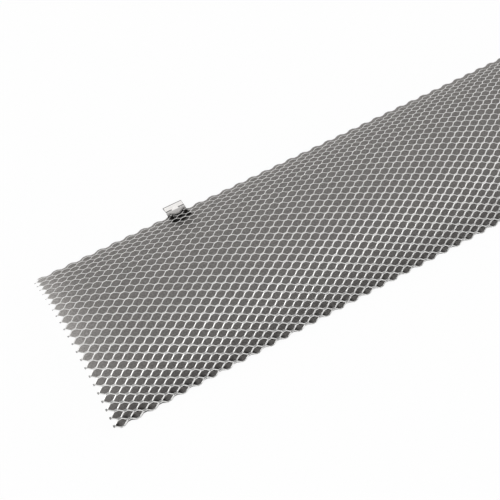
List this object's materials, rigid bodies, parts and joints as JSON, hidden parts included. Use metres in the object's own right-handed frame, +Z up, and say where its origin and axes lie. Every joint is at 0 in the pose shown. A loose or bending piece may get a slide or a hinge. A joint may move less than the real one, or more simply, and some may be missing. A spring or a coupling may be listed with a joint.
{
  "type": "gutter guard",
  "caption": "Arched strip of galvanized expanded-steel mesh with bent sheet-metal clips on its back edge, laid over a roof gutter to keep leaves out.",
  "frame": {"origin": "centre of the footprint, on the floor", "axes": "+X along the guard, +Y across it towards the edge with the clips, +Z up"},
  "size_m": [0.9144, 0.1466, 0.0268],
  "materials": {
    "mesh": "bright galvanized expanded steel",
    "clip": "smooth galvanized sheet steel"
  },
  "bodies": {
    "root": {"mesh_band_01": "mesh", "mesh_band_02": "mesh", "mesh_band_03": "mesh", "mesh_band_04": "mesh", "mesh_band_05": "mesh", "mesh_band_06": "mesh", "mesh_band_07": "mesh", "mesh_band_08": "mesh", "mesh_band_09": "mesh", "mesh_band_10": "mesh", "mesh_band_11": "mesh", "clip_left": "clip", "clip_right": "clip"}
  },
  "joints": []
}
